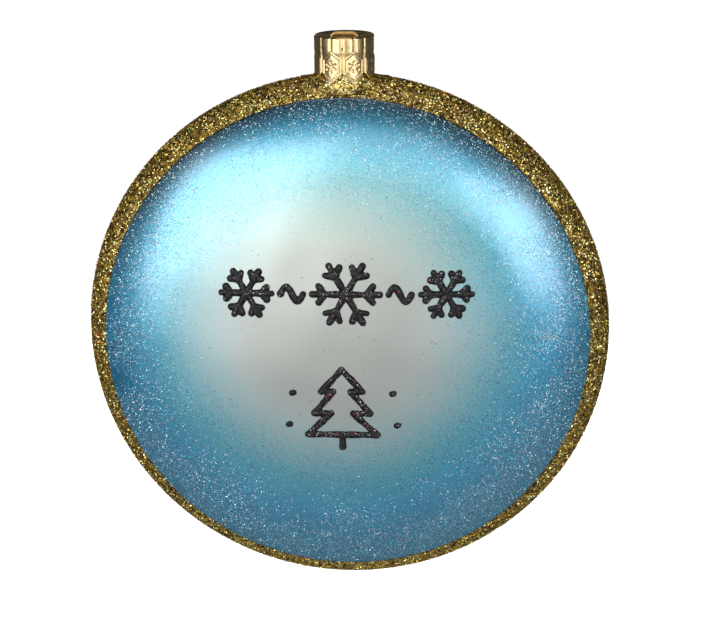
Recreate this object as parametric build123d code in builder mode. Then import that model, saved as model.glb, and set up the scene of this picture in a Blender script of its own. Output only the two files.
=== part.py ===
"""Hanging ornament: a flattened bubble of silvered glass with painted faces, a glitter rim, a cap and a wire.

Millimetres, +Z up. The origin is the hang point, under the bow of the hanger wire when it is pushed down.
The disc's axis runs along Y, and its decorated face looks towards -Y.
"""
import os
from math import cos, pi, radians, sin

from build123d import *

# Disc
DISC_R = 50.0  # over the glitter band
RIM_R = 5.7  # the rounding of the rim, centred on the mid-plane
SHOULDER_R = 32.0
SHOULDER_START = radians(6.6)  # between the surface's normal and the disc's axis, where the face ends
SHOULDER_END = radians(37.0)  # the same, where the rim begins
HANG_TO_CENTRE = 56.6
BAND_HALF_WIDTH = 5.4  # from the mid-plane to the edge of the glitter
GLITTER = 0.4  # thickness of the glitter coat
LACQUER = 0.15
GLASS = 1.0
SILVER = 0.1
MARGIN = 1.0  # how far a cutting shape reaches past what it cuts

# Neck
NECK_R = 4.3
NECK_BORE_R = 3.5
NECK_TOP = -0.5
FLARE_TOP = -7.1
FLARE_BOTTOM = -11.1
FLARE_R = 5.3
COLLAR_TOP = -6.4  # how far up the neck the glitter climbs
COLLAR_BOTTOM = -8.6  # inside the band
COLLAR_R = 4.7

# Cap
CAP_R = 5.5
SHEET = 0.3
CAP_RIM = 0.3
DISH_FLOOR = -0.1  # the dished top that the wire's bow lies in
DISH_R = 4.6
TOOTH_TIP = -7.9
TOOTH_ROOT = -6.15
TEETH = 8
FLUTES = 16
FLUTE_CUT_R = 0.35
FLUTE_BOTTOM = -2.6
SHIELD_WIDTH = 3.7
SHIELD_HEIGHT = 5.7
SHIELD_SIDE = 2.9
SHIELD_BORDER = 0.4
SHIELD_RELIEF = 0.15
STAR_RAY = 2.3
RAY_WIDTH = 0.35
CAP_CLEARANCE = 0.15  # between the teeth and the glitter they stand over

# Hanger wire
WIRE = 0.9
LEG_X = 2.4
SPLAY_TOP = -10.0
LEG_END_X = 2.85
LEG_END = -19.0
WIRE_BEND_R = 0.9
SLOT_LENGTH = 1.8
SLOT_WIDTH = 1.1

# Piped motif, placed from the disc's centre
STROKE = 1.4
RELIEF = 0.5
UPPER_ROW = (0.6, 10.7)
MIDDLE_FLAKE = (6.2, 2.0)  # lengths of an arm and a twig
SIDE_FLAKE = (4.7, 1.5)
SIDE_FLAKE_X = 18.5
TWIG_FORK = 0.6  # how far along the arm its twigs start
TWIG_BEND = radians(50)
WAVE_X = 10.0
WAVE_LENGTH = 4.2
WAVE_HEIGHT = 1.4
LOWER_ROW = (-0.35, -11.6)
TREE_WIDTH = 13.0
TREE_HEIGHT = 15.5
TREE_TIERS = ((0.30, 0.13), (0.40, 0.16), (0.50, 0.0))  # reach of each tier and of the notch over it
TIER_HEIGHT = 0.28
DOTS = ((9.4, 3.0), (10.2, -3.4))
DOT = 1.8

DISC_PLANE = Plane.XY.offset(-HANG_TO_CENTRE)
DISC_AXIS = Axis((0, 0, -HANG_TO_CENTRE), (0, 1, 0))
FACE_PLANE = Plane(origin=(0, 0, -HANG_TO_CENTRE), x_dir=(1, 0, 0), z_dir=(0, -1, 0))
TOOTH_WIDTH = 2 * pi * CAP_R / TEETH


def lean(angle):
    """The direction that leans from the disc's axis towards its rim by an angle."""
    return Vector(sin(angle), cos(angle))


def disc_solid(inset):
    """The disc's outline, drawn in by inset all over and turned about the disc's axis."""
    rim_centre = Vector(DISC_R - RIM_R, 0)
    shoulder_centre = rim_centre - lean(SHOULDER_END) * (SHOULDER_R - RIM_R)
    dome_reach = shoulder_centre.X / sin(SHOULDER_START)
    dome_centre = shoulder_centre - lean(SHOULDER_START) * dome_reach
    crown = Vector(0, dome_centre.Y + dome_reach + SHOULDER_R - inset)
    face_edge = shoulder_centre + lean(SHOULDER_START) * (SHOULDER_R - inset)
    rim_edge = rim_centre + lean(SHOULDER_END) * (RIM_R - inset)
    with BuildPart() as disc:
        with BuildSketch(DISC_PLANE):
            with BuildLine():
                face = TangentArc(crown, face_edge, tangent=(1, 0))
                shoulder = TangentArc(face_edge, rim_edge, tangent=face % 1)
                mirror(face, about=Plane.XZ)
                mirror(shoulder, about=Plane.XZ)
                ThreePointArc(rim_edge, (DISC_R - inset, 0), (rim_edge.X, -rim_edge.Y))
                Line((0, -crown.Y), crown)
            make_face()
        revolve(axis=DISC_AXIS)
    return disc.part


def neck_solid():
    """The neck, with the flare that runs down into the disc."""
    with BuildPart() as neck:
        with BuildSketch(Plane.XZ):
            with BuildLine():
                side = Line((NECK_R, NECK_TOP), (NECK_R, FLARE_TOP))
                flare = TangentArc(side @ 1, (FLARE_R, FLARE_BOTTOM), tangent=side % 1)
                Polyline(flare @ 1, (0, FLARE_BOTTOM), (0, NECK_TOP), side @ 0)
            make_face()
        revolve(axis=Axis.Z)
    return neck.part


def bore_solid(radius):
    """What the neck's hole takes out, down into the hollow of the disc."""
    with BuildPart() as bore:
        with BuildSketch(Plane.XY.offset(NECK_TOP)):
            Circle(radius)
        extrude(amount=FLARE_BOTTOM - NECK_TOP)
    return bore.part


def half_space(low, high):
    """A block that holds the whole disc's width and height between two planes across its axis."""
    with BuildPart() as block:
        with BuildSketch(Plane.XZ.offset(-high)):
            with Locations((0, -HANG_TO_CENTRE)):
                Rectangle(3 * DISC_R, 3 * DISC_R)
        extrude(amount=high - low)
    return block.part


def cap_side(angle):
    """The plane through the cap's axis that looks out at an angle round from the front."""
    return Plane(origin=(0, 0, 0), z_dir=(sin(angle), -cos(angle), 0), x_dir=(cos(angle), sin(angle), 0))


def around(count, offset=0.0):
    """Equal angles round the cap, the first one at offset steps from the front."""
    return [(step + offset) * 2 * pi / count for step in range(count)]


def hexagon(width, height, side):
    """The corners of an upright hexagon that is pointed at top and bottom."""
    half_width = width / 2
    half_height = height / 2
    half_side = side / 2
    right = [(half_width, half_side), (half_width, -half_side), (0, -half_height)]
    left = [(-half_width, -half_side), (-half_width, half_side), (0, half_height)]
    return right + left


def stroke(start, end):
    """One piped line with round ends."""
    run = Vector(*end) - Vector(*start)
    with Locations(((start[0] + end[0]) / 2, (start[1] + end[1]) / 2)):
        SlotCenterToCenter(run.length, STROKE, rotation=Vector(1, 0).get_signed_angle(run, Vector(0, 0, 1)))


def strokes(*points):
    """Piped lines that join a row of points."""
    for start, end in zip(points, points[1:]):
        stroke(start, end)


def snowflake(centre, arm, twig):
    """Six arms, each with a pair of twigs."""
    x, y = centre
    for angle in around(6, 0.5):
        tip = (x + arm * sin(angle), y + arm * cos(angle))
        fork = (x + TWIG_FORK * arm * sin(angle), y + TWIG_FORK * arm * cos(angle))
        stroke(centre, tip)
        for bend in (-TWIG_BEND, TWIG_BEND):
            stroke(fork, (fork[0] + twig * sin(angle + bend), fork[1] + twig * cos(angle + bend)))


def wave(centre, length, height):
    """A wind curl: one long S of piped line."""
    x, y = centre
    shares = [step / 10 for step in range(11)]
    strokes(*[(x + length * (share - 0.5), y + height * sin(2 * pi * share)) for share in shares])


def fir_tree(centre, width, height):
    """A tree of three tiers on a short trunk, drawn as one outline."""
    x, y = centre
    top = y + height / 2
    tier_height = TIER_HEIGHT * height
    for side in (-1, 1):
        points = [(x, top)]
        for number, (outer, inner) in enumerate(TREE_TIERS, start=1):
            base = top - number * tier_height
            points.append((x + side * outer * width, base))
            points.append((x + side * inner * width, base))
        strokes(*points)
    strokes((x, top - len(TREE_TIERS) * tier_height), (x, y - height / 2))


def piped(sketch_part):
    """The drawn strokes, raised off the painted face and bedded on it."""
    with BuildPart() as raised:
        add(sketch_part)
        add(disc_solid(GLITTER - LACQUER - RELIEF), mode=Mode.INTERSECT)
        add(disc_solid(GLITTER - LACQUER), mode=Mode.SUBTRACT)
    return raised.part


# Glass: one blown piece, hollow, with its neck
outer_glass = disc_solid(GLITTER)
inner_glass = disc_solid(GLITTER + GLASS)

with BuildPart() as glass_body:
    add(outer_glass)
    add(neck_solid())
    add(inner_glass, mode=Mode.SUBTRACT)
    add(bore_solid(NECK_BORE_R), mode=Mode.SUBTRACT)

# Silvering: the mirror coat on the inside of the disc and the neck
with BuildPart() as silvering:
    add(inner_glass)
    add(bore_solid(NECK_BORE_R))
    add(disc_solid(GLITTER + GLASS + SILVER), mode=Mode.SUBTRACT)
    add(bore_solid(NECK_BORE_R - SILVER), mode=Mode.SUBTRACT)

# Lacquer: the painted skins of the two faces
with BuildPart() as front_lacquer:
    add(disc_solid(GLITTER - LACQUER))
    add(half_space(-DISC_R, -BAND_HALF_WIDTH), mode=Mode.INTERSECT)
    add(outer_glass, mode=Mode.SUBTRACT)

with BuildPart() as back_lacquer:
    add(disc_solid(GLITTER - LACQUER))
    add(half_space(BAND_HALF_WIDTH, DISC_R), mode=Mode.INTERSECT)
    add(outer_glass, mode=Mode.SUBTRACT)

# Glitter: the band round the rim, and the collar where it climbs the neck
with BuildPart() as glitter_band:
    add(disc_solid(0))
    add(half_space(-BAND_HALF_WIDTH, BAND_HALF_WIDTH), mode=Mode.INTERSECT)
    with BuildSketch(Plane.XY.offset(COLLAR_TOP)):
        Circle(COLLAR_R)
    extrude(amount=COLLAR_BOTTOM - COLLAR_TOP)
    add(outer_glass, mode=Mode.SUBTRACT)
    add(neck_solid(), mode=Mode.SUBTRACT)

# Motif: piped lines on the front face
with BuildPart() as upper_strokes:
    with BuildSketch(FACE_PLANE):
        x, y = UPPER_ROW
        snowflake(UPPER_ROW, *MIDDLE_FLAKE)
        for side in (-1, 1):
            snowflake((x + side * SIDE_FLAKE_X, y), *SIDE_FLAKE)
            wave((x + side * WAVE_X, y), WAVE_LENGTH, WAVE_HEIGHT)
    extrude(amount=DISC_R)

with BuildPart() as lower_strokes:
    with BuildSketch(FACE_PLANE):
        fir_tree(LOWER_ROW, TREE_WIDTH, TREE_HEIGHT)
        for side in (-1, 1):
            for x, y in DOTS:
                with Locations((LOWER_ROW[0] + side * x, LOWER_ROW[1] + y)):
                    Circle(DOT / 2)
    extrude(amount=DISC_R)

with BuildPart() as motif_upper:
    add(piped(upper_strokes.part))

with BuildPart() as motif_lower:
    add(piped(lower_strokes.part))

# Cap: stamped sheet with a dished top, flutes, shields and teeth
with BuildPart() as shields:
    for angle in around(TEETH, 0.5):
        with BuildSketch(cap_side(angle)):
            with Locations((0, TOOTH_TIP + SHIELD_HEIGHT / 2)):
                Polygon(*hexagon(SHIELD_WIDTH, SHIELD_HEIGHT, SHIELD_SIDE), align=None)
                inner_width = SHIELD_WIDTH - 2 * SHIELD_BORDER
                inner_height = SHIELD_HEIGHT - 3 * SHIELD_BORDER
                inner_side = SHIELD_SIDE - SHIELD_BORDER
                Polygon(*hexagon(inner_width, inner_height, inner_side), align=None, mode=Mode.SUBTRACT)
            for ray in range(3):
                with Locations((0, TOOTH_TIP + SHIELD_HEIGHT / 2)):
                    SlotOverall(STAR_RAY, RAY_WIDTH, rotation=90 + 60 * ray)
        extrude(amount=2 * CAP_R)
    with BuildSketch(Plane.XY.offset(TOOTH_TIP - MARGIN)):
        Circle(CAP_R + SHIELD_RELIEF)
        Circle(CAP_R - SHEET / 2, mode=Mode.SUBTRACT)
    extrude(amount=SHIELD_HEIGHT + 2 * MARGIN, mode=Mode.INTERSECT)

with BuildPart() as cap_shell:
    with BuildSketch(Plane.XZ):
        with BuildLine():
            Polyline(
                (CAP_R - SHEET, TOOTH_TIP),
                (CAP_R, TOOTH_TIP),
                (CAP_R, CAP_RIM),
                (DISH_R + SHEET, CAP_RIM),
                (DISH_R, DISH_FLOOR),
                (0, DISH_FLOOR),
                (0, DISH_FLOOR - SHEET),
                (CAP_R - SHEET, DISH_FLOOR - SHEET),
                close=True,
            )
        make_face()
    revolve(axis=Axis.Z)
    fillet(edges().filter_by(GeomType.CIRCLE).group_by(Axis.Z)[-1].sort_by(SortBy.RADIUS)[-1], SHEET)
    with BuildSketch(Plane.XY.offset(FLUTE_BOTTOM)):
        with PolarLocations(CAP_R + FLUTE_CUT_R - SHEET / 2, FLUTES):
            Circle(FLUTE_CUT_R)
    extrude(amount=CAP_R, mode=Mode.SUBTRACT)
    add(shields.part)
    for angle in around(TEETH):
        with BuildSketch(cap_side(angle)):
            half = TOOTH_WIDTH / 2
            Polygon((-half, TOOTH_TIP), (0, TOOTH_ROOT), (half, TOOTH_TIP), align=None)
            with Locations((0, TOOTH_TIP - MARGIN)):
                Rectangle(TOOTH_WIDTH, 2 * MARGIN)
        extrude(amount=2 * CAP_R, mode=Mode.SUBTRACT)
    with BuildSketch(Plane.XY.offset(CAP_RIM)):
        with Locations((-LEG_X, 0), (LEG_X, 0)):
            SlotOverall(SLOT_LENGTH, SLOT_WIDTH, rotation=90)
    extrude(amount=-2 * SHEET - CAP_RIM, mode=Mode.SUBTRACT)
    add(disc_solid(-CAP_CLEARANCE), mode=Mode.SUBTRACT)

# Hanger: spring wire with a bow on the cap and two splayed legs in the neck
bow = WIRE / 2
with BuildPart() as hanger_wire:
    with BuildLine(Plane.XZ) as wire_run:
        FilletPolyline(
            (-LEG_END_X, LEG_END),
            (-LEG_X, SPLAY_TOP),
            (-LEG_X, bow),
            (LEG_X, bow),
            (LEG_X, SPLAY_TOP),
            (LEG_END_X, LEG_END),
            radius=WIRE_BEND_R,
        )
    with BuildSketch(Plane(origin=wire_run.line @ 0, z_dir=wire_run.line % 0)):
        Circle(WIRE / 2)
    sweep()

pieces = {
    "glass_body": glass_body,
    "silvering": silvering,
    "front_lacquer": front_lacquer,
    "back_lacquer": back_lacquer,
    "glitter_band": glitter_band,
    "motif_upper": motif_upper,
    "motif_lower": motif_lower,
    "cap_shell": cap_shell,
    "hanger_wire": hanger_wire,
}
os.makedirs("parts", exist_ok=True)
for name, piece in pieces.items():
    piece.part.label = name
    export_step(piece.part, f"parts/{name}.step")
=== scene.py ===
"""Hanging glass ornament: painted disc, glitter rim, piped motif, stamped cap and wire, in a pale studio."""
import math

import bmesh
import bpy
import numpy as np
from mathutils import Matrix, Vector


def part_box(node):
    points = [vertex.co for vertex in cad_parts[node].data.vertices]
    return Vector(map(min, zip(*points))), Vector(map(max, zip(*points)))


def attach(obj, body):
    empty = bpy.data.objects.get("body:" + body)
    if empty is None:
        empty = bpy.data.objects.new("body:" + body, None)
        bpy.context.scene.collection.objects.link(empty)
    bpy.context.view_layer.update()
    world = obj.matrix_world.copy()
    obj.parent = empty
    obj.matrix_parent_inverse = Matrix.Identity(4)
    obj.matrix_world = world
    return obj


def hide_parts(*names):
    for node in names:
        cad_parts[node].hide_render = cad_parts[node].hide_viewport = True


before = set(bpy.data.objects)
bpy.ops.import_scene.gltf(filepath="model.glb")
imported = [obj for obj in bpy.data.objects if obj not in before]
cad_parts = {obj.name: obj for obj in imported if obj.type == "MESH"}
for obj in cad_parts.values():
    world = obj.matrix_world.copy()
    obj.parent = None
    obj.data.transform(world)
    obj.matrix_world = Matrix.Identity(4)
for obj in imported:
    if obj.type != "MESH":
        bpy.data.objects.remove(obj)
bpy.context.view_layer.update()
MM = 0.001

# Driving dimensions, in metres, as the CAD model has them
BAND_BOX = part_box("glitter_band")
CAP_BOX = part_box("cap_shell")
DISC_R = 50.0 * MM
RIM_R = 5.7 * MM
SHOULDER_R = 32.0 * MM
SHOULDER_START = math.radians(6.6)
SHOULDER_END = math.radians(37.0)
CENTRE = Vector((0.0, 0.0, BAND_BOX[0].z + DISC_R))
BAND_HALF_WIDTH = BAND_BOX[1].y
GLITTER = 0.4 * MM
LACQUER = 0.15 * MM
NECK_R = 4.3 * MM


# ---------------------------------------------------------------- disc outline

RIM_CENTRE = np.array([DISC_R - RIM_R, 0.0])


def lean(angle):
    """The outward normal in (radius, depth) that leans from the disc's axis by an angle."""
    return np.stack([np.sin(angle), np.cos(angle)], -1)


SHOULDER_CENTRE = RIM_CENTRE - lean(SHOULDER_END) * (SHOULDER_R - RIM_R)
DOME_R = SHOULDER_R + SHOULDER_CENTRE[0] / math.sin(SHOULDER_START)
DOME_CENTRE = SHOULDER_CENTRE - lean(SHOULDER_START) * (DOME_R - SHOULDER_R)


def lean_at(radius, inset=0.0):
    """How far the surface's normal leans at a radius from the disc's axis, from 0 to a right angle."""
    radius = np.asarray(radius, float)
    dome = np.arcsin(np.clip(radius / (DOME_R - inset), 0, 1))
    shoulder = np.arcsin(np.clip((radius - SHOULDER_CENTRE[0]) / (SHOULDER_R - inset), 0, 1))
    rim = np.arcsin(np.clip((radius - RIM_CENTRE[0]) / (RIM_R - inset), 0, 1))
    return np.where(dome < SHOULDER_START, dome, np.where(shoulder < SHOULDER_END, shoulder, rim))


def on_outline(angle, inset=0.0):
    """(radius, depth) of the outline where its normal leans by an angle."""
    angle = np.asarray(angle, float)
    part = np.select([angle < SHOULDER_START, angle < SHOULDER_END], [0, 1], 2)
    centres = np.array([DOME_CENTRE, SHOULDER_CENTRE, RIM_CENTRE])[part]
    radii = np.array([DOME_R, SHOULDER_R, RIM_R])[part] - inset
    return centres + lean(angle) * radii[..., None]


def disc_point(radius_depth, turn, side):
    """The row-frame point at (radius, depth), a turn about the disc's axis and the face side, -1 in front."""
    radius, depth = radius_depth[..., 0], radius_depth[..., 1]
    return np.stack(
        [radius * np.sin(turn), side * depth + 0 * turn, CENTRE.z + radius * np.cos(turn)], -1
    )


def disc_normal(angle, turn, side):
    return disc_point(lean(angle), turn, side) - np.array([0, 0, CENTRE.z])


# ---------------------------------------------------------------- mesh helpers


def mesh_object(name, points, faces):
    mesh = bpy.data.meshes.new(name)
    mesh.from_pydata(np.asarray(points, float).reshape(-1, 3).tolist(), [], faces)
    mesh.validate()
    piece = bpy.data.objects.new(name, mesh)
    bpy.context.scene.collection.objects.link(piece)
    mesh.polygons.foreach_set("use_smooth", [True] * len(mesh.polygons))
    return piece


def face_outwards(piece):
    """Turns a closed mesh's normals outwards."""
    shape = bmesh.new()
    shape.from_mesh(piece.data)
    bmesh.ops.recalc_face_normals(shape, faces=shape.faces)
    shape.to_mesh(piece.data)
    shape.free()


def finish_piece(piece, body, material, replaces=()):
    piece.data.materials.clear()
    piece.data.materials.append(material)
    if replaces:
        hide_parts(*replaces)
    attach(piece, body)
    return piece


def grid_faces(rows, columns, start=0, wrap=True):
    """Quads between rows of points that run round, each row a loop if wrap."""
    row = np.arange(rows - 1)[:, None] * columns
    column = np.arange(columns if wrap else columns - 1)[None, :]
    following = (column + 1) % columns
    quads = np.stack(
        [row + column, row + following, row + columns + following, row + columns + column], -1
    )
    return (quads.reshape(-1, 4) + start).tolist()


def closed_skin(name, outer, inner):
    """A closed skin from two grids of points, both with rows that run round, joined at both ends."""
    rows, around = outer.shape[:2]
    faces = grid_faces(2 * rows, around)
    last = (2 * rows - 1) * around
    faces += [[last + i, last + (i + 1) % around, (i + 1) % around, i] for i in range(around)]
    piece = mesh_object(name, np.concatenate([outer, inner[::-1]]), faces)
    face_outwards(piece)
    return piece


def ripple(points, wavelength, seed, octaves=2):
    """Smooth random waves over points, about -1 to 1, as a sum of sines in random directions."""
    waves = np.random.default_rng(seed)
    total = np.zeros(points.shape[:-1])
    for octave in range(octaves):
        for _ in range(9):
            direction = waves.normal(size=3)
            direction /= np.linalg.norm(direction)
            rate = 2 * math.pi / (wavelength * 0.55**octave * waves.uniform(0.7, 1.4))
            total += 0.6**octave * np.sin(points @ direction * rate + waves.uniform(0, 2 * math.pi))
    return total / 5.0


# ---------------------------------------------------------------- materials


def new_material(name):
    material = bpy.data.materials.new(name)
    material.use_nodes = True
    nodes = material.node_tree.nodes
    shader = nodes["Principled BSDF"]
    return material, nodes, material.node_tree.links, shader


def coordinates(nodes, links, offset=(0, 0, 0), scale=(1, 1, 1)):
    """Object coordinates, which are the row frame's, moved and scaled."""
    source = nodes.new("ShaderNodeTexCoord")
    mapping = nodes.new("ShaderNodeMapping")
    mapping.inputs["Location"].default_value = offset
    mapping.inputs["Scale"].default_value = scale
    links.new(source.outputs["Object"], mapping.inputs["Vector"])
    return mapping.outputs["Vector"]


def noise(nodes, links, vector, scale, detail=2.0, roughness=0.5):
    texture = nodes.new("ShaderNodeTexNoise")
    texture.inputs["Scale"].default_value = scale
    texture.inputs["Detail"].default_value = detail
    texture.inputs["Roughness"].default_value = roughness
    links.new(vector, texture.inputs["Vector"])
    return texture.outputs["Fac"]


def length_of(nodes, links, vector, scale):
    """The length of a vector once each of its parts is scaled."""
    scaled = nodes.new("ShaderNodeVectorMath")
    scaled.operation = "MULTIPLY"
    scaled.inputs[1].default_value = scale
    links.new(vector, scaled.inputs[0])
    length = nodes.new("ShaderNodeVectorMath")
    length.operation = "LENGTH"
    links.new(scaled.outputs["Vector"], length.inputs[0])
    return length.outputs["Value"]


def ramp(nodes, links, value, stops):
    """A colour ramp with (place, (r, g, b)) or (place, level) stops."""
    node = nodes.new("ShaderNodeValToRGB")
    elements = node.color_ramp.elements
    while len(elements) < len(stops):
        elements.new(0.5)
    for element, (place, colour) in zip(elements, stops):
        element.position = place
        colour = (colour,) * 3 if isinstance(colour, (int, float)) else colour
        element.color = (*colour, 1.0)
    links.new(value, node.inputs["Fac"])
    return node.outputs["Color"]


def maths(nodes, links, operation, first, second=0.0, clamp=False):
    node = nodes.new("ShaderNodeMath")
    node.operation = operation
    node.use_clamp = clamp
    for socket, value in zip(node.inputs, (first, second)):
        if isinstance(value, (int, float)):
            socket.default_value = value
        else:
            links.new(value, socket)
    return node.outputs["Value"]


def mix(nodes, links, share, first, second, blend="MIX"):
    node = nodes.new("ShaderNodeMix")
    node.data_type = "RGBA"
    node.blend_type = blend
    sockets = [s for s in node.inputs if s.enabled]
    for socket, value in zip(sockets, (share, first, second)):
        if isinstance(value, (int, float)):
            socket.default_value = value
        elif isinstance(value, tuple):
            socket.default_value = (*value, 1.0)
        else:
            links.new(value, socket)
    return [s for s in node.outputs if s.enabled][0]


def bump(nodes, links, shader, height, distance, strength=1.0):
    node = nodes.new("ShaderNodeBump")
    node.inputs["Distance"].default_value = distance
    node.inputs["Strength"].default_value = strength
    links.new(height, node.inputs["Height"])
    links.new(node.outputs["Normal"], shader.inputs["Normal"])


PATCH_X = -2.0 * MM
PATCH_Z = 4.0 * MM
PATCH_NARROWING = 0.95  # sideways, so that the pale patch is wider than high
PAINT = [  # colour by distance from the pale patch's middle, in mm
    (0.0, (0.54, 0.57, 0.53)),
    (14.0, (0.54, 0.58, 0.545)),
    (18.0, (0.52, 0.625, 0.61)),
    (22.0, (0.42, 0.62, 0.64)),
    (25.5, (0.29, 0.58, 0.65)),
    (28.5, (0.165, 0.53, 0.645)),
    (31.5, (0.064, 0.47, 0.63)),
    (35.0, (0.008, 0.43, 0.70)),
    (39.5, (0.003, 0.39, 0.71)),
    (43.5, (0.006, 0.38, 0.66)),
    (47.5, (0.020, 0.36, 0.58)),
]


# Painted shade: the deep blue laid over the rim of the disc's upper half.
PAINTED_SHADE_BLUE = (0.003, 0.055, 0.11)
# Painted highlight tint: takes some blue out of the upper half, where the highlights fall.
PAINTED_HIGHLIGHT_TINT = (1.0, 1.0, 0.91)


def painted_rim_shade(nodes, links):
    """Rises from nothing to full over the last few millimetres of the painted face; it masks a painted shade
    at the rim.
    """
    place = coordinates(nodes, links, offset=(0, 0, -CENTRE.z))
    radius = length_of(nodes, links, place, (1 / DISC_R, 0, 1 / DISC_R))
    return ramp(nodes, links, radius, [(0.83, 0.0), (0.87, 0.45), (0.91, 0.95)])


def painted_light_upper_half(nodes, links):
    """Full on the disc's upper half, nothing on its lower half; it masks the painted highlight tint and, with
    the rim mask, the painted rim shade.
    """
    place = coordinates(nodes, links, offset=(0, 0, -CENTRE.z))
    parts = nodes.new("ShaderNodeSeparateXYZ")
    links.new(place, parts.inputs["Vector"])
    height = maths(nodes, links, "DIVIDE", parts.outputs["Z"], DISC_R)
    return ramp(nodes, links, height, [(0.10, 0.0), (0.55, 1.0)])


def face_paint():
    """Pearl lacquer: silver-white in the middle, airbrushed through cyan to blue at the rim, with a painted
    highlight tint on the upper half and a painted shade of deep blue over the upper rim.
    """
    material, nodes, links, shader = new_material("face_paint")
    place = coordinates(nodes, links, offset=(-PATCH_X, 0, -CENTRE.z - PATCH_Z))
    length = length_of(nodes, links, place, (PATCH_NARROWING / DISC_R, 0, 1 / DISC_R))
    drift = noise(nodes, links, place, 55.0, 3.0, 0.55)
    spray = noise(nodes, links, place, 4600.0, 1.0, 0.7)
    wander = maths(nodes, links, "MULTIPLY_ADD", drift, 0.08)
    wander.node.inputs[2].default_value = -0.04
    radius = maths(nodes, links, "ADD", length, wander)
    grain = maths(nodes, links, "MULTIPLY_ADD", spray, 0.40)
    grain.node.inputs[2].default_value = -0.20
    spread = ramp(nodes, links, radius, [(0.22, 0.10), (0.45, 1.0), (0.80, 1.0), (1.0, 0.5)])
    grain = maths(nodes, links, "MULTIPLY", grain, spread)
    sprayed = maths(nodes, links, "ADD", radius, grain)
    colour = ramp(nodes, links, sprayed, [(q * MM / DISC_R, paint) for q, paint in PAINT])
    drops = noise(nodes, links, place, 3000.0, 0.0)
    drops = ramp(nodes, links, drops, [(0.62, 0.0), (0.68, 1.0)])
    reach = ramp(nodes, links, radius, [(0.42, 0.0), (0.62, 0.55), (1.0, 0.75)])
    colour = mix(nodes, links, maths(nodes, links, "MULTIPLY", drops, reach), colour, (0.004, 0.12, 0.32))
    specks = noise(nodes, links, place, 1800.0, 0.0)
    dark = maths(nodes, links, "GREATER_THAN", specks, 0.825)
    dark = maths(nodes, links, "MULTIPLY", dark, 0.5)
    colour = mix(nodes, links, dark, colour, (0.03, 0.06, 0.09))
    upper = painted_light_upper_half(nodes, links)
    # Painted highlight tint: the upper half made less blue.
    colour = mix(nodes, links, upper, colour, mix(nodes, links, 1.0, colour, PAINTED_HIGHLIGHT_TINT, "MULTIPLY"))
    # Painted shade: deep blue over the last millimetres of the rim, on the upper half only.
    painted_shade_share = mix(nodes, links, 1.0, painted_rim_shade(nodes, links), upper, "MULTIPLY")
    colour = mix(nodes, links, painted_shade_share, colour, PAINTED_SHADE_BLUE)
    links.new(colour, shader.inputs["Base Color"])
    rough = maths(nodes, links, "MULTIPLY_ADD", drift, 0.12)
    rough.node.inputs[2].default_value = 0.34
    links.new(rough, shader.inputs["Roughness"])
    shader.inputs["Metallic"].default_value = 0.80
    shader.inputs["Coat Weight"].default_value = 1.0
    shader.inputs["Coat IOR"].default_value = 2.3
    shader.inputs["Coat Roughness"].default_value = 0.25
    peel = noise(nodes, links, place, 1600.0, 2.0)
    bump(nodes, links, shader, peel, 0.04 * MM, 0.35)
    return material


def glitter_base():
    """The dark binder between the gold flakes."""
    material, nodes, links, shader = new_material("glitter_base")
    place = coordinates(nodes, links)
    mottle = noise(nodes, links, place, 900.0, 2.0, 0.6)
    colour = ramp(
        nodes,
        links,
        mottle,
        [(0.35, (0.035, 0.015, 0.002)), (0.5, (0.18, 0.095, 0.014)), (0.7, (0.54, 0.35, 0.06))],
    )
    links.new(colour, shader.inputs["Base Color"])
    shader.inputs["Metallic"].default_value = 0.70
    shader.inputs["Roughness"].default_value = 0.45
    bump(nodes, links, shader, noise(nodes, links, place, 2400.0, 2.0, 0.6), 0.15 * MM, 0.8)
    return material


def chip_material(name, colour, roughness):
    """Foil of one tint. Its detail is in the chips' own facets, so its values are plain."""
    material, _, _, shader = new_material(name)
    shader.inputs["Base Color"].default_value = (*colour, 1.0)
    shader.inputs["Metallic"].default_value = 0.98
    shader.inputs["Roughness"].default_value = roughness
    return material


def gilt(name, colour, roughness):
    """Gold-lacquered bright metal with fine handling marks."""
    material, nodes, links, shader = new_material(name)
    place = coordinates(nodes, links)
    patch = noise(nodes, links, place, 420.0, 3.0, 0.6)
    tone = ramp(
        nodes,
        links,
        patch,
        [(0.35, tuple(0.80 * c for c in colour)), (0.60, colour)],
    )
    links.new(tone, shader.inputs["Base Color"])
    rough = maths(nodes, links, "MULTIPLY_ADD", patch, 0.16)
    rough.node.inputs[2].default_value = roughness - 0.06
    links.new(rough, shader.inputs["Roughness"])
    shader.inputs["Metallic"].default_value = 1.0
    stretched = coordinates(nodes, links, scale=(1.0, 1.0, 0.15))
    bump(nodes, links, shader, noise(nodes, links, stretched, 5200.0, 2.0), 0.02 * MM, 0.35)
    return material


def clear_glass():
    """Blown glass, nearly clear, with faint draw lines."""
    material, nodes, links, shader = new_material("clear_glass")
    place = coordinates(nodes, links, scale=(1.0, 1.0, 0.1))
    draw = noise(nodes, links, place, 900.0, 2.0)
    tone = ramp(nodes, links, draw, [(0.3, (0.86, 0.92, 0.93)), (0.7, (0.95, 0.98, 0.98))])
    links.new(tone, shader.inputs["Base Color"])
    shader.inputs["Transmission Weight"].default_value = 0.85
    shader.inputs["Roughness"].default_value = 0.04
    shader.inputs["IOR"].default_value = 1.5
    bump(nodes, links, shader, draw, 0.05 * MM, 0.2)
    return material


def mirror_coat():
    material, nodes, links, shader = new_material("mirror_coat")
    place = coordinates(nodes, links)
    cloud = noise(nodes, links, place, 300.0, 4.0, 0.6)
    tone = ramp(nodes, links, cloud, [(0.35, (0.70, 0.71, 0.72)), (0.60, (0.90, 0.90, 0.89))])
    links.new(tone, shader.inputs["Base Color"])
    rough = maths(nodes, links, "MULTIPLY_ADD", cloud, 0.15)
    rough.node.inputs[2].default_value = 0.02
    links.new(rough, shader.inputs["Roughness"])
    shader.inputs["Metallic"].default_value = 1.0
    return material


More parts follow.
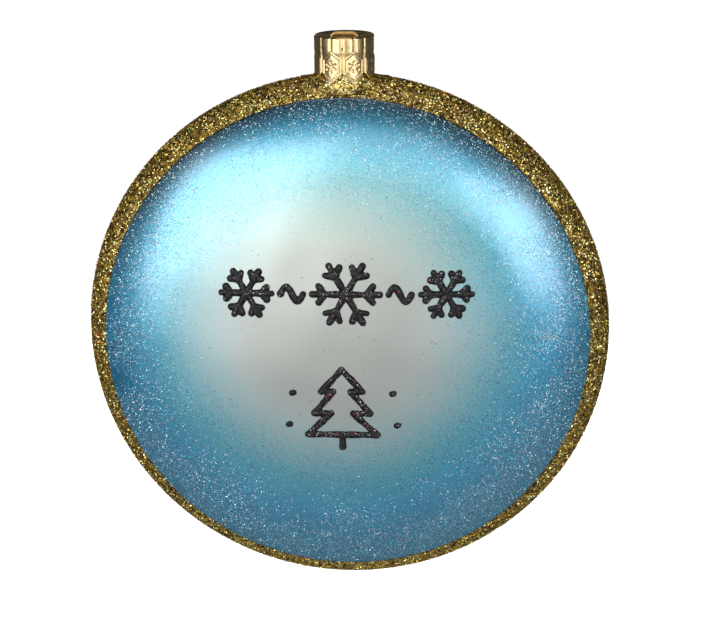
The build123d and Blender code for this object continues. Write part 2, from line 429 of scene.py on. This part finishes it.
def piped_paint():
    """Black glitter paint: near black, wet-looking, with grey mottling."""
    material, nodes, links, shader = new_material("piped_paint")
    place = coordinates(nodes, links)
    mottle = noise(nodes, links, place, 2600.0, 2.0, 0.6)
    tone = ramp(
        nodes,
        links,
        mottle,
        [(0.45, (0.003, 0.003, 0.004)), (0.60, (0.012, 0.012, 0.013)), (0.70, (0.10, 0.10, 0.10))],
    )
    links.new(tone, shader.inputs["Base Color"])
    shader.inputs["Roughness"].default_value = 0.42
    shader.inputs["Specular IOR Level"].default_value = 0.35
    bump(nodes, links, shader, mottle, 0.10 * MM, 0.6)
    return material


# ---------------------------------------------------------------- painted faces

FACE_INSET = GLITTER - LACQUER
INNER_INSET = FACE_INSET + 0.8 * LACQUER
SWELL = 0.07 * MM


def painted_face(name, side, seed):
    """One face's lacquer as a closed skin, with the slight waviness of hand-blown glass."""
    rings, around = 150, 420
    angles = np.linspace(0, math.radians(89), 4000)
    edge = np.interp(-BAND_HALF_WIDTH, -on_outline(angles, FACE_INSET)[:, 1], angles)
    edge_radius = on_outline(edge, FACE_INSET)[0]
    radii = edge_radius * np.linspace(0, 1, rings + 1)[1:] ** 0.9
    turns = np.linspace(0, 2 * math.pi, around, endpoint=False)
    lean_angles = lean_at(radii, FACE_INSET)[:, None]
    turn = turns[None, :]
    outer = disc_point(on_outline(lean_angles, FACE_INSET), turn, side)
    normal = disc_normal(lean_angles, turn, side)
    swell = SWELL * (1 + ripple(outer, 26 * MM, seed)) * (1 - (radii / edge_radius) ** 8)[:, None]
    outer = outer + normal * swell[..., None]
    tip = disc_point(on_outline(np.zeros(1), FACE_INSET), np.zeros(1), side)
    tip = tip + np.array([0, side * SWELL, 0])
    inner = disc_point(on_outline(lean_angles, INNER_INSET), turn, side)
    inner_tip = disc_point(on_outline(np.zeros(1), INNER_INSET), np.zeros(1), side)
    count = rings * around
    points = np.concatenate(
        [outer.reshape(-1, 3), inner.reshape(-1, 3), tip.reshape(-1, 3), inner_tip.reshape(-1, 3)]
    )
    faces = grid_faces(rings, around) + grid_faces(rings, around, start=count)
    for layer in (0, 1):
        hub = 2 * count + layer
        first = layer * count
        faces += [[hub, first + i, first + (i + 1) % around] for i in range(around)]
    last = (rings - 1) * around
    faces += [
        [last + i, last + (i + 1) % around, count + last + (i + 1) % around, count + last + i]
        for i in range(around)
    ]
    piece = mesh_object(name, points, faces)
    face_outwards(piece)
    return piece


paint = face_paint()
front = painted_face("painted_front", -1, 3)
finish_piece(front, "glass", paint, ["front_lacquer"])
back = painted_face("painted_back", 1, 4)
finish_piece(back, "glass", paint, ["back_lacquer"])

# ---------------------------------------------------------------- glitter band and collar

COLLAR_R = 4.72 * MM
COLLAR_TOP = -6.4 * MM
COLLAR_FOOT = (8.2 * MM, 5.35 * MM)  # half widths, along the rim and across it
BED_INSET = 0.22 * MM
OVERLAP = 0.25 * MM
THINNING = 0.12 * MM  # at the top and the bottom


def band_profile(count, overlap):
    """Lean angles and sides, front edge to back edge, equally spaced along the band's outline."""
    fine = np.linspace(0, math.pi / 2, 6000)
    shape = on_outline(fine)
    inside = shape[:, 1] <= BAND_HALF_WIDTH + overlap
    fine, shape = fine[inside], shape[inside]
    run = np.concatenate([[0], np.cumsum(np.linalg.norm(np.diff(shape, axis=0), axis=1))])
    share = np.linspace(-1, 1, count)
    angles = np.interp((1 - np.abs(share)) * run[-1], run, fine)
    return angles, np.sign(share + 1e-9)


def disc_height(x, y):
    """How high the band's top surface is over a point near the neck."""
    angles = np.linspace(0, math.pi / 2, 4000)
    shape = on_outline(angles)
    radius = np.interp(-np.abs(y), -shape[:, 1], shape[:, 0])
    return CENTRE.z + np.sqrt(radius**2 - x**2)


def band_mesh():
    rows, around = 72, 1300
    turns = np.linspace(0, 2 * math.pi, around, endpoint=False)[None, :]
    angles, sides = band_profile(rows, OVERLAP)
    angles, sides = angles[:, None], sides[:, None]
    outer = disc_point(on_outline(angles), turns, sides)
    normal = disc_normal(angles, turns, sides)
    rough = ripple(outer, 0.9 * MM, 11, 2) * 0.04 * MM + ripple(outer, 9 * MM, 12) * 0.02 * MM
    thin = THINNING * np.cos(turns) ** 2
    ragged = np.clip(ripple(outer, 1.6 * MM, 13), -1, 1) * OVERLAP
    edge = np.abs(np.linspace(-1, 1, rows))[:, None] > 0.97
    outer = outer + normal * (rough - BED_INSET - thin)[..., None]
    outer[..., 1] += np.where(edge, sides * ragged, 0)
    inner = disc_point(on_outline(angles, GLITTER), turns, sides)
    return closed_skin("glitter_bed", outer, inner)


def collar_points(turn, share):
    """The glitter's climb up the neck: share runs from the neck down to where it meets the rim."""
    reach_x, reach_y = COLLAR_FOOT
    reach = reach_x * reach_y / np.hypot(reach_y * np.sin(turn), reach_x * np.cos(turn))
    foot = disc_height(reach * np.sin(turn), reach * np.cos(turn)) - 0.12 * MM
    radius = COLLAR_R + (reach - COLLAR_R) * share**2.4
    height = COLLAR_TOP + (foot - COLLAR_TOP) * (1 - (1 - share) ** 1.25)
    return np.stack([radius * np.sin(turn), -radius * np.cos(turn), height], -1)


def collar_normal(turn, share):
    step = 1e-3
    along = collar_points(turn + step, share) - collar_points(turn - step, share)
    low, high = np.clip(share - step, 0, 1), np.clip(share + step, 0, 1)
    down = collar_points(turn, high) - collar_points(turn, low)
    normal = np.cross(down, along)
    return normal / np.linalg.norm(normal, axis=-1, keepdims=True)


def collar_mesh():
    rows, around = 44, 360
    turns = np.linspace(0, 2 * math.pi, around, endpoint=False)[None, :] + np.zeros((rows, 1))
    shares = np.linspace(0, 1, rows)[:, None] + np.zeros((1, around))
    outer = collar_points(turns, shares)
    normal = collar_normal(turns, shares)
    rough = ripple(outer, 0.9 * MM, 21, 2) * 0.05 * MM
    outer = outer + normal * rough[..., None]
    inner = outer - normal * 0.35 * MM
    inner_radius = np.hypot(inner[..., 0], inner[..., 1])
    shrink = np.maximum(NECK_R / inner_radius, 1.0)
    inner[..., 0] *= shrink
    inner[..., 1] *= shrink
    return closed_skin("glitter_collar", outer, inner)


def chips(name, points, normals, sizes, tilt, sunk, corners, seed):
    """Foil chips as closed pyramids, each with its base outwards and its tip in the binder."""
    draw = np.random.default_rng(seed)
    count = len(points)
    wobble = draw.normal(size=(count, 3)) * tilt[:, None]
    facing = normals + wobble
    facing /= np.linalg.norm(facing, axis=1, keepdims=True)
    helper = draw.normal(size=(count, 3))
    across = np.cross(facing, helper)
    across /= np.linalg.norm(across, axis=1, keepdims=True)
    along = np.cross(facing, across)
    places = []
    for corner in range(corners):
        angle = corner * 2 * math.pi / corners + draw.uniform(-0.25, 0.25, count)
        reach = sizes * draw.uniform(0.55, 0.75, count)
        offset = across * np.cos(angle)[:, None] + along * np.sin(angle)[:, None]
        places.append(points + offset * reach[:, None])
    places.append(points - normals * sunk)
    vertices = np.stack(places, 1).reshape(-1, 3)
    first = (np.arange(count) * (corners + 1))[:, None]
    top = (first + np.arange(corners)[None, :]).tolist()
    sides = [(first + np.array([[(k + 1) % corners, k, corners]])).tolist() for k in range(corners)]
    faces = top + [face for side in sides for face in side]
    mesh = bpy.data.meshes.new(name)
    mesh.from_pydata(vertices.tolist(), [], faces)
    piece = bpy.data.objects.new(name, mesh)
    bpy.context.scene.collection.objects.link(piece)
    return piece


def scatter(prefix, points, normals, sizes, tilt, sunk, corners, tints, seed):
    """Shares chips out among tints, one piece for each."""
    draw = np.random.default_rng(seed)
    weights = np.array([tint[3] for tint in tints], float)
    which = draw.choice(len(tints), size=len(points), p=weights / weights.sum())
    for number, (tint, colour, roughness, _) in enumerate(tints):
        mine = which == number
        name = f"{prefix}_{tint}"
        shares = points[mine], normals[mine], sizes[mine], tilt[mine]
        piece = chips(name, *shares, sunk, corners, seed + number)
        material = bpy.data.materials.get(f"foil_{tint}") or chip_material(
            f"foil_{tint}", colour, roughness
        )
        finish_piece(piece, "glass", material)


GOLD_TINTS = [
    ("bright_gold", (1.0, 0.83, 0.25), 0.30, 0.39),
    ("pale_gold", (1.0, 0.94, 0.50), 0.29, 0.38),
    ("old_gold", (0.92, 0.64, 0.15), 0.32, 0.16),
    ("bronze", (0.50, 0.24, 0.05), 0.32, 0.05),
    ("green_gold", (0.35, 0.85, 0.30), 0.26, 0.012),
    ("copper", (0.95, 0.30, 0.15), 0.26, 0.008),
]


GOLD = 76000
COLLAR_PART = 18  # one chip on the collar for so many on the band
NECK_CLEAR = 5.0 * MM
BAND_PLACES = 600  # across the band that a chip can be at


def gold_chips():
    draw = np.random.default_rng(31)
    angles, sides = band_profile(BAND_PLACES, OVERLAP)
    pick = draw.integers(0, BAND_PLACES, GOLD)
    turn = draw.uniform(0, 2 * math.pi, GOLD)
    angle, side = angles[pick], sides[pick]
    points = disc_point(on_outline(angle, 0.9 * BED_INSET), turn, side)
    normals = disc_normal(angle, turn, side)
    points = points - normals * (THINNING * np.cos(turn) ** 2)[:, None]
    clear = np.hypot(points[:, 0], points[:, 1]) > NECK_CLEAR
    outside = clear | (points[:, 2] < CENTRE.z)
    points, normals = points[outside], normals[outside]
    collar_count = GOLD // COLLAR_PART
    share = draw.uniform(0.02, 0.97, collar_count)
    around = draw.uniform(0, 2 * math.pi, collar_count)
    points = np.concatenate([points, collar_points(around, share)])
    normals = np.concatenate([normals, collar_normal(around, share)])
    size = draw.uniform(0.20, 0.31, len(points)) * MM
    tilt = draw.uniform(0.12, 0.72, len(points))
    tilt[-collar_count:] *= 0.45
    points = points + normals * (draw.uniform(-0.06, 0.04, len(points)) * MM)[:, None]
    scatter("gold_chips", points, normals, size, tilt, 0.14 * MM, 4, GOLD_TINTS, 40)


bed = glitter_base()
finish_piece(band_mesh(), "glass", bed, ["glitter_band"])
finish_piece(collar_mesh(), "glass", bed)
gold_chips()

# ---------------------------------------------------------------- frost on the faces

FROST_TINTS = [
    ("white", (0.84, 0.97, 1.0), 0.34, 0.40),
    ("ice", (0.28, 0.76, 0.92), 0.34, 0.52),
    ("rose", (1.0, 0.62, 0.72), 0.26, 0.06),
    ("lilac", (0.52, 0.62, 0.95), 0.28, 0.02),
]


FACE_R = 45.9 * MM  # of the lacquer that shows inside the band
FROST = 56000


def frost(side, count, seed):
    """Iridescent chips dusted over the lacquer, thick towards the rim."""
    draw = np.random.default_rng(seed)
    tries = count * 5
    radius = FACE_R * np.sqrt(draw.uniform(0.12, 1, tries))
    turn = draw.uniform(0, 2 * math.pi, tries)
    share = radius / FACE_R
    low_side = 0.5 - 0.5 * np.cos(turn)
    right_side = 0.5 + 0.5 * np.sin(turn)
    patch = ripple(np.stack([np.sin(turn) * radius, 0 * turn, np.cos(turn) * radius], -1), 12 * MM, seed)
    amount = np.clip((share - 0.56) / 0.34, 0, 1) ** 2 * (0.15 + 0.85 * low_side + 0.30 * right_side)
    amount = amount + 1.2 * low_side**2 * np.clip((share - 0.84) / 0.08, 0, 1)
    amount = amount * np.clip(1 + 0.7 * patch, 0.15, 2) + 0.004
    keep = np.flatnonzero(draw.uniform(0, 1, tries) < amount)[:count]
    radius, turn = radius[keep], turn[keep]
    angle = lean_at(radius, FACE_INSET)
    points = disc_point(on_outline(angle, FACE_INSET), turn, side)
    normals = disc_normal(angle, turn, side)
    points = points + normals * 0.14 * MM
    size = draw.uniform(0.11, 0.19, len(points)) * MM
    tilt = draw.uniform(0.05, 0.50, len(points))
    prefix = "frost_front" if side < 0 else "frost_back"
    scatter(prefix, points, normals, size, tilt, 0.10 * MM, 3, FROST_TINTS, seed + 3)


frost(-1, FROST, 51)
frost(1, FROST, 61)

# ---------------------------------------------------------------- piped motif

STROKE_R = 0.68 * MM
SQUASH = 0.78  # of a bead's thickness to its width
UPPER_ROW = (0.6 * MM, 10.7 * MM)
MIDDLE_FLAKE = (6.2 * MM, 2.0 * MM)  # lengths of an arm and a twig
SIDE_FLAKE = (4.7 * MM, 1.5 * MM)
SIDE_FLAKE_X = 18.5 * MM
TWIG_FORK = 0.6  # how far along the arm its twigs start
TWIG_BEND = math.radians(50)
WAVE_X = 10.0 * MM
WAVE = (4.2 * MM, 1.4 * MM)
LOWER_ROW = (-0.35 * MM, -11.6 * MM)
TREE = (13.0 * MM, 15.5 * MM)
TREE_TIERS = ((0.30, 0.13), (0.40, 0.16), (0.50, 0.0))
TIER_HEIGHT = 0.28
DOTS = ((9.4 * MM, 3.0 * MM), (10.2 * MM, -3.4 * MM))
MOTIF_SPARKLE = 4200


def snowflake(x, z, arm, twig):
    lines = []
    for step in range(6):
        angle = (step + 0.5) * math.pi / 3
        tip = (x + arm * math.sin(angle), z + arm * math.cos(angle))
        fork = (x + TWIG_FORK * arm * math.sin(angle), z + TWIG_FORK * arm * math.cos(angle))
        lines.append([(x, z), tip])
        for bend in (-TWIG_BEND, TWIG_BEND):
            end = (fork[0] + twig * math.sin(angle + bend), fork[1] + twig * math.cos(angle + bend))
            lines.append([fork, end])
    return lines


def wave(x, z, length, height):
    shares = np.linspace(0, 1, 25)
    return [[(x + length * (s - 0.5), z + height * math.sin(2 * math.pi * s)) for s in shares]]


def fir_tree(x, z, width, height):
    top = z + height / 2
    tier_height = TIER_HEIGHT * height
    lines = []
    for side in (-1, 1):
        points = [(x, top)]
        for number, (outer, inner) in enumerate(TREE_TIERS, start=1):
            base = top - number * tier_height
            points += [(x + side * outer * width, base), (x + side * inner * width, base)]
        lines.append(points)
    return lines + [[(x, top - 3 * tier_height), (x, z - height / 2)]]


def on_front(x, z):
    """The point on the front face's lacquer, x across and z up from the disc's centre."""
    radius = np.hypot(x, z)
    turn = np.arctan2(x, z)
    angle = lean_at(radius, FACE_INSET)
    return disc_point(on_outline(angle, FACE_INSET), turn, -1)


def piped(name, lines, seed):
    """Beads of paint laid close along each line and melted into one closed shape."""
    draw = np.random.default_rng(seed)
    shape = bmesh.new()
    spacing = 0.32 * MM
    for line in lines:
        drift = draw.uniform(0, 100)
        travelled = 0.0
        for start, end in zip(line, line[1:]):
            run = math.dist(start, end)
            steps = max(1, round(run / spacing))
            for step in range(steps + 1):
                share = step / steps
                x = start[0] + (end[0] - start[0]) * share
                z = start[1] + (end[1] - start[1]) * share
                along = (travelled + run * share) / MM
                size = STROKE_R * (1 + 0.10 * math.sin(along * 1.3 + drift) + draw.uniform(-0.07, 0.07))
                at = on_front(np.array(x), np.array(z))
                place = Matrix.Translation(Vector(at)) @ Matrix.Diagonal((1, SQUASH, 1, 1))
                bmesh.ops.create_icosphere(shape, subdivisions=2, radius=size, matrix=place)
            travelled += run
    mesh = bpy.data.meshes.new(name + "_beads")
    shape.to_mesh(mesh)
    shape.free()
    beads = bpy.data.objects.new(name + "_beads", mesh)
    bpy.context.scene.collection.objects.link(beads)
    remesh = beads.modifiers.new("melt", "REMESH")
    remesh.mode = "VOXEL"
    remesh.voxel_size = 0.11 * MM
    remesh.use_smooth_shade = True
    smooth = beads.modifiers.new("smooth", "SMOOTH")
    smooth.iterations = 3
    smooth.factor = 0.5
    depsgraph = bpy.context.evaluated_depsgraph_get()
    melted = bpy.data.meshes.new_from_object(beads.evaluated_get(depsgraph))
    bpy.data.objects.remove(beads)
    piece = bpy.data.objects.new(name, melted)
    piece.name = name
    bpy.context.scene.collection.objects.link(piece)
    melted.polygons.foreach_set("use_smooth", [True] * len(melted.polygons))
    return piece


BLACK_TINTS = [
    ("jet", (0.022, 0.022, 0.025), 0.30, 0.80),
    ("steel", (0.50, 0.51, 0.52), 0.24, 0.155),
    ("garnet", (0.70, 0.10, 0.14), 0.24, 0.028),
    ("fuchsia", (0.85, 0.30, 0.60), 0.24, 0.017),
]


def sparkle(prefix, piece, count, seed):
    """Chips on the raised side of a piped line."""
    draw = np.random.default_rng(seed)
    total = len(piece.data.polygons)
    centres = np.empty(total * 3)
    normals = np.empty(total * 3)
    piece.data.polygons.foreach_get("center", centres)
    piece.data.polygons.foreach_get("normal", normals)
    centres, normals = centres.reshape(-1, 3), normals.reshape(-1, 3)
    raised = np.flatnonzero(normals[:, 1] < -0.15)
    pick = draw.choice(raised, size=min(count, len(raised)), replace=False)
    size = draw.uniform(0.10, 0.20, len(pick)) * MM
    tilt = draw.uniform(0.1, 0.5, len(pick))
    points = centres[pick] + normals[pick] * 0.01 * MM
    scatter(prefix, points, normals[pick], size, tilt, 0.08 * MM, 3, BLACK_TINTS, seed)


def motif():
    paint = piped_paint()
    x, z = UPPER_ROW
    upper = snowflake(x, z, *MIDDLE_FLAKE)
    for side in (-1, 1):
        upper += snowflake(x + side * SIDE_FLAKE_X, z, *SIDE_FLAKE)
        upper += wave(x + side * WAVE_X, z, *WAVE)
    x, z = LOWER_ROW
    lower = fir_tree(x, z, *TREE)
    for side in (-1, 1):
        for across, up in DOTS:
            dot = (x + side * across, z + up)
            lower.append([dot, (dot[0] + 0.3 * MM, dot[1] + 0.1 * MM)])
    for name, lines, node, seed in (
        ("piped_upper", upper, "motif_upper", 71),
        ("piped_lower", lower, "motif_lower", 72),
    ):
        piece = piped(name, lines, seed)
        finish_piece(piece, "glass", paint, [node])
        sparkle(name.replace("piped", "sparkle"), piece, MOTIF_SPARKLE, seed + 10)


motif()

# ---------------------------------------------------------------- cap

CAP_R = 5.42 * MM
SHEET = 0.28 * MM
CAP_RIM = CAP_BOX[1].z
DISH_R = 4.6 * MM
DISH_FLOOR = -0.1 * MM
TOOTH_TIP = CAP_BOX[0].z
TOOTH_ROOT = -6.15 * MM
TEETH = 8
FLUTES = 16
SHIELD_HALF = (1.87 * MM, 2.85 * MM)
SHIELD_SIDE = 1.45 * MM
SHIELD_MIDDLE = TOOTH_TIP + SHIELD_HALF[1]
CORNER = 0.32 * MM


def step_up(value, low, high):
    share = np.clip((value - low) / (high - low), 0, 1)
    return share * share * (3 - 2 * share)


def ridge(value, low, high, soft):
    """1 between low and high, with soft sides."""
    return step_up(value, low - soft, low + soft) * (1 - step_up(value, high - soft, high + soft))


def cap_relief(turn, z):
    """How far the stamped pattern stands out from the cap's wall."""
    in_flute = (turn / (2 * math.pi / FLUTES)) % 1.0 - 0.5
    pillow = 1 - np.abs(2 * in_flute) ** 5
    flutes = 0.17 * MM * pillow
    in_shield = ((turn / (2 * math.pi / TEETH)) % 1.0 - 0.5) * (2 * math.pi / TEETH) * CAP_R
    height = z - SHIELD_MIDDLE
    half_width, half_height = SHIELD_HALF
    slope = (half_height - SHIELD_SIDE) / half_width
    beside = np.abs(in_shield) / half_width
    above = (np.abs(height) + np.abs(in_shield) * slope) / half_height
    metric = np.maximum(beside, above)  # 1 on the shield's outline
    soft = 0.035
    shield = 0.15 * MM * ridge(metric, 0.84, 0.96, soft)
    field = 0.07 * MM * (1 - step_up(metric, 0.66, 0.74))
    star = 0 * in_shield
    for ray in range(3):
        angle = math.pi / 2 + ray * math.pi / 3
        off = np.abs(in_shield * math.sin(angle) - height * math.cos(angle))
        along = np.abs(in_shield * math.cos(angle) + height * math.sin(angle))
        thin = 1 - step_up(off, 0.10 * MM, 0.26 * MM)
        short = 1 - step_up(along, 0.95 * MM, 1.20 * MM)
        star = np.maximum(star, thin * short)
    shield = shield + field - 0.13 * MM * star
    edge = np.abs(np.abs(in_shield) - math.pi / TEETH * CAP_R)
    groove = (1 - step_up(edge, 0.04 * MM, 0.16 * MM)) * (1 - step_up(z, -2.0 * MM, -1.5 * MM))
    inside_shield = 1 - step_up(metric, 0.98, 1.03)
    upper = step_up(z, -3.2 * MM, -2.4 * MM)
    plain = flutes * (0.45 + 0.55 * upper)
    blended = inside_shield * shield + (1 - inside_shield) * plain
    return blended - 0.16 * MM * groove


TOOTH_DROP = [0.44, 0.08, 0.0, 0.08, -0.08, 0.04, 0.0, 0.36]  # mm, how far each tooth is bent down
FLARE = 0.30 * MM


def cap_wall():
    """The cap's stamped side, its rolled edge and the rim round its dished top, as one closed sheet."""
    wall_rows, around = 96, 440
    turns = np.linspace(0, 2 * math.pi, around, endpoint=False)
    tooth = np.abs(((turns / (2 * math.pi / TEETH)) % 1.0) - 0.5) * 2
    drop = np.array(TOOTH_DROP)[(turns / (2 * math.pi / TEETH)).astype(int)] * MM
    tip = TOOTH_TIP - drop
    bottom = tip + (TOOTH_ROOT - tip) * tooth
    clear = disc_height(CAP_R * np.sin(turns), CAP_R * np.cos(turns)) + 0.22 * MM
    bottom = np.maximum(bottom, clear)
    rows = []
    top = CAP_RIM - CORNER
    for share in np.linspace(0, 1, wall_rows):
        z = bottom + (top - bottom) * share
        flare = FLARE * np.clip((TOOTH_ROOT - z) / (1.7 * MM), 0, 1) ** 1.5
        rows.append((CAP_R + flare, z, cap_relief(turns, z)))
    whole = 0 * turns
    edge_relief = cap_relief(turns, whole + top)
    for bend in np.radians(np.linspace(15, 90, 6)):
        radius = CAP_R - CORNER + CORNER * math.cos(bend)
        z = top + CORNER * math.sin(bend)
        rows.append((radius + whole, z + whole, edge_relief * (1 - 0.7 * math.sin(bend))))
    rim_inside = (DISH_R + 0.30 * MM, CAP_RIM - 0.02 * MM)
    half_way_down = (DISH_R + 0.12 * MM, 0.1 * MM)
    for radius, z in (rim_inside, half_way_down, (DISH_R, DISH_FLOOR)):
        rows.append((radius + whole, z + whole, whole))
    outer, inner = [], []
    for radius, z, relief in rows:
        reach = radius + relief
        outer.append(np.stack([reach * np.sin(turns), -reach * np.cos(turns), z], -1))
        reach = radius - SHEET + 0.8 * relief
        low = np.minimum(z, CAP_RIM - SHEET)
        low = np.where(radius < CAP_R - CORNER, DISH_FLOOR - SHEET, low)
        inner.append(np.stack([reach * np.sin(turns), -reach * np.cos(turns), low], -1))
    inner[-1][..., :2] = outer[-1][..., :2]
    return closed_skin("crown_cap", np.array(outer), np.array(inner))


SLOT_X = 2.4 * MM
SLOT_R = 0.55 * MM
SLOT_STRAIGHT = 0.35 * MM  # half of the slot's straight sides


def cap_plate():
    """The dished top of the cap, with the two slots that the wire comes out of."""
    curve = bpy.data.curves.new("cap_plate", "CURVE")
    curve.dimensions = "2D"
    curve.fill_mode = "BOTH"
    curve.extrude = SHEET / 2
    reach = 1.01 * DISH_R
    turns = np.linspace(0, 2 * math.pi, 120, endpoint=False)
    loops = [[(reach * math.cos(turn), reach * math.sin(turn)) for turn in turns]]
    for side in (-1, 1):
        slot_loop = []
        for turn in np.linspace(0, 2 * math.pi, 32, endpoint=False):
            y = SLOT_R * math.sin(turn) + math.copysign(SLOT_STRAIGHT, math.sin(turn))
            slot_loop.append((side * SLOT_X + SLOT_R * math.cos(turn), y))
        loops.append(slot_loop)
    for loop in loops:
        spline = curve.splines.new("POLY")
        spline.points.add(len(loop) - 1)
        for point, (x, y) in zip(spline.points, loop):
            point.co = (x, y, 0, 1)
        spline.use_cyclic_u = True
    holder = bpy.data.objects.new("cap_plate_curve", curve)
    bpy.context.scene.collection.objects.link(holder)
    depsgraph = bpy.context.evaluated_depsgraph_get()
    mesh = bpy.data.meshes.new_from_object(holder.evaluated_get(depsgraph))
    bpy.data.objects.remove(holder)
    mesh.transform(Matrix.Translation((0, 0, DISH_FLOOR - SHEET / 2)))
    piece = bpy.data.objects.new("cap_plate", mesh)
    bpy.context.scene.collection.objects.link(piece)
    return piece


cap_gold = gilt("cap_gold", (0.98, 0.74, 0.38), 0.27)
finish_piece(cap_wall(), "cap", cap_gold, ["cap_shell"])
finish_piece(cap_plate(), "cap", cap_gold)


def repaint(node, material):
    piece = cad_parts[node]
    piece.data.materials.clear()
    piece.data.materials.append(material)


repaint("hanger_wire", gilt("wire_gold", (0.52, 0.36, 0.15), 0.30))
repaint("glass_body", clear_glass())
repaint("silvering", mirror_coat())

# ---------------------------------------------------------------- studio


def stage_material():
    material, nodes, links, shader = new_material("studio_white")
    place = coordinates(nodes, links)
    tone = ramp(nodes, links, noise(nodes, links, place, 3.0), [(0.3, 0.82), (0.7, 0.86)])
    links.new(tone, shader.inputs["Base Color"])
    shader.inputs["Roughness"].default_value = 0.8
    shader.inputs["Emission Color"].default_value = (1.0, 1.0, 1.0, 1.0)
    shader.inputs["Emission Strength"].default_value = 0.98
    return material


def glow_material(name, strength):
    material, nodes, links, shader = new_material(name)
    place = coordinates(nodes, links)
    tone = ramp(nodes, links, noise(nodes, links, place, 12.0), [(0.3, 0.9), (0.7, 1.0)])
    shader.inputs["Base Color"].default_value = (0, 0, 0, 1)
    links.new(tone, shader.inputs["Emission Color"])
    shader.inputs["Emission Strength"].default_value = strength
    return material


def floor_glow(name, near, far, half_angle, turn, height, strength):
    """A lit patch of floor in front of the disc that only reflections show."""
    around = 25
    turns = np.radians(turn + np.linspace(-half_angle, half_angle, around))
    points = [[r * math.sin(t), -r * math.cos(t), height] for r in (near, far) for t in turns]
    piece = mesh_object(name, points, grid_faces(2, around, wrap=False))
    piece.data.materials.append(glow_material(name, strength))
    piece.visible_camera = False
    piece.visible_diffuse = False
    piece.visible_shadow = False


def bowl(floor_z):
    """A pale floor that curves up into a wall all round."""
    reach, curve_r, height = 2.2, 0.7, 2.2
    profile = [(0.0, 0.0), (reach * 0.5, 0.0)]
    for bend in np.radians(np.linspace(0, 90, 20)):
        profile.append((reach + curve_r * math.sin(bend), curve_r * (1 - math.cos(bend))))
    profile.append((reach + curve_r, height))
    around = 96
    turns = np.linspace(0, 2 * math.pi, around, endpoint=False)
    points = [[r * math.cos(t) + 1e-6, r * math.sin(t), floor_z + z] for r, z in profile for t in turns]
    piece = mesh_object("studio_bowl", points, grid_faces(len(profile), around))
    piece.data.materials.append(stage_material())
    return piece


def towards(azimuth, elevation):
    """The direction at an azimuth, 0 being straight in front, and an elevation."""
    level = math.cos(elevation)
    return Vector((math.sin(azimuth) * level, -math.cos(azimuth) * level, math.sin(elevation)))


def softbox(name, azimuth, elevation, distance, size, power):
    """An area light that faces the disc's centre."""
    back = towards(math.radians(azimuth), math.radians(elevation))
    light = bpy.data.lights.new(name, "AREA")
    light.shape = "RECTANGLE"
    light.size, light.size_y = size
    light.energy = power
    lamp = bpy.data.objects.new(name, light)
    lamp.location = CENTRE + back * distance
    lamp.rotation_euler = (-back).to_track_quat("-Z", "Y").to_euler()
    bpy.context.scene.collection.objects.link(lamp)
    return lamp


def room():
    """Faint light from the front that fades towards the sides, the back and the ceiling."""
    world = bpy.data.worlds.new("studio")
    bpy.context.scene.world = world
    world.use_nodes = True
    nodes, links = world.node_tree.nodes, world.node_tree.links
    direction = nodes.new("ShaderNodeTexCoord")
    parts = nodes.new("ShaderNodeSeparateXYZ")
    links.new(direction.outputs["Generated"], parts.inputs["Vector"])
    height = ramp(nodes, links, parts.outputs["Z"], [(0.35, 1.0), (0.65, 0.25)])
    ahead = maths(nodes, links, "MULTIPLY", parts.outputs["Y"], -1.0)
    tone = ramp(nodes, links, ahead, [(0.0, 0.07), (0.35, 0.10), (0.65, 0.26)])
    tone = mix(nodes, links, 1.0, tone, height, "MULTIPLY")
    links.new(tone, nodes["Background"].inputs["Color"])


def studio():
    floor_z = BAND_BOX[0].z - 150 * MM
    stage = bowl(floor_z)
    stage.visible_glossy = False
    stage.visible_diffuse = False
    floor_glow("glow_under", 0.01, 0.30, 90, 0, floor_z + 1 * MM, 0.26)
    floor_glow("glow_far", 0.65, 1.00, 22, -3, floor_z + 2 * MM, 1.05)
    softbox("key_left", -30, 12, 0.9, (0.70, 0.64), 4.1)
    softbox("fill_right", 37.5, 8, 0.9, (0.47, 0.46), 2.05)
    softbox("front", 10, 20, 0.9, (0.50, 0.64), 0.95)
    softbox("above", 0, 80, 0.9, (0.50, 0.40), 1.0)
    softbox("back", 180, -8, 0.7, (0.4, 0.3), 2.6)
    room()
    bpy.context.scene.view_settings.view_transform = "Standard"


CAMERA_AZIMUTH = math.radians(4.2)
CAMERA_ELEVATION = math.radians(17.2)
CAMERA_ROLL = math.radians(-0.7)
CAMERA_DISTANCE = 0.350


def camera():
    data = bpy.data.cameras.new("camera")
    data.lens = 91.0
    data.shift_x = 0.0169
    data.shift_y = 0.0306
    data.clip_start = 0.01
    eye = bpy.data.objects.new("camera", data)
    back = towards(CAMERA_AZIMUTH, CAMERA_ELEVATION)
    eye.location = CENTRE + back * CAMERA_DISTANCE
    turn = (-back).to_track_quat("-Z", "Y").to_matrix() @ Matrix.Rotation(CAMERA_ROLL, 3, "Z")
    eye.rotation_euler = turn.to_euler()
    bpy.context.scene.collection.objects.link(eye)
    bpy.context.scene.camera = eye


studio()
camera()
